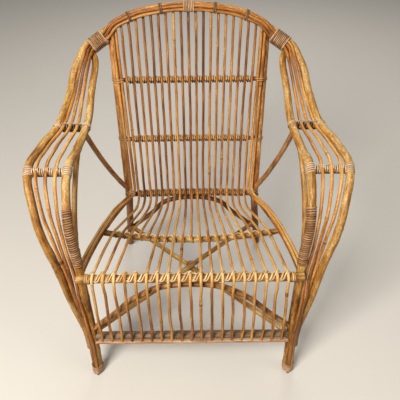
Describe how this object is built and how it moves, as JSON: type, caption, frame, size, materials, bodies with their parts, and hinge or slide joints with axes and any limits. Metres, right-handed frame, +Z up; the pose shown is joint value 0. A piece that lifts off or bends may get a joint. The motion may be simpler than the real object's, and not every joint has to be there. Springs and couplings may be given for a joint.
{
  "type": "rattan armchair",
  "caption": "Open armchair of bent rattan poles and thin spindles lashed with cane: a reclined round-arched back, a dished spindle seat that runs down into a front apron, and broad looped arms.",
  "frame": {"origin": "on the floor, under the middle of the chair's bounding box", "axes": "+X to the right when looking at the chair's front, +Y from the front apron towards the back, +Z up"},
  "size_m": [0.7866, 0.6003, 0.869],
  "materials": {
    "rattan_pole": "varnished rattan pole with the bark on, satin, honey coloured",
    "rattan_rod": "thin rattan rod, satin varnish, red-brown to golden",
    "rattan_dark": "rattan pole, darker and worn",
    "cane_lashing": "split cane, wound, worn satin",
    "cane_binding": "split cane, pale straw, satin"
  },
  "bodies": {
    "root": {"apron_lengths": "rattan_rod", "apron_rod": "rattan_rod", "arch_lashings": "cane_lashing", "arm_bar_bindings": "cane_binding", "arm_bar_front_left": "rattan_pole", "arm_bar_front_right": "rattan_pole", "arm_bar_rear_left": "rattan_pole", "arm_bar_rear_right": "rattan_pole", "arm_brace_left": "rattan_pole", "arm_brace_right": "rattan_pole", "arm_pole_left": "rattan_pole", "arm_pole_right": "rattan_pole", "arm_support_left": "rattan_pole", "arm_support_right": "rattan_pole", "arm_wraps": "cane_lashing", "back_bindings": "cane_binding", "back_post_left": "rattan_dark", "back_post_right": "rattan_dark", "edge_rods_left": "rattan_rod", "edge_rods_right": "rattan_rod", "foot_lashings": "cane_lashing", "front_arch": "rattan_pole", "front_rail": "rattan_pole", "front_rail_binding": "cane_binding", "hoop_pole_left": "rattan_pole", "hoop_pole_right": "rattan_pole", "hoop_rods_left": "rattan_rod", "hoop_rods_right": "rattan_rod", "lower_back_bar": "rattan_pole", "lower_front_bar": "rattan_dark", "middle_back_rod": "rattan_pole", "rear_arch": "rattan_dark", "seat_bar": "rattan_pole", "seat_bar_binding": "cane_binding", "shoulder_lashings": "cane_lashing", "side_rail_left": "rattan_pole", "side_rail_right": "rattan_pole", "spindle_01": "rattan_rod", "spindle_02": "rattan_rod", "spindle_03": "rattan_rod", "spindle_04": "rattan_rod", "spindle_05": "rattan_rod", "spindle_06": "rattan_rod", "spindle_07": "rattan_rod", "spindle_08": "rattan_rod", "spindle_09": "rattan_rod", "spindle_10": "rattan_rod", "spindle_11": "rattan_rod", "spindle_12": "rattan_rod", "spindle_13": "rattan_rod", "spindle_14": "rattan_rod", "spindle_15": "rattan_rod", "spindle_16": "rattan_rod", "spindle_17": "rattan_rod", "spindle_18": "rattan_rod", "spindle_19": "rattan_rod", "stretcher_lashing": "cane_lashing", "stretcher_left": "rattan_dark", "stretcher_right": "rattan_dark", "upper_back_rod": "rattan_pole"}
  },
  "joints": []
}
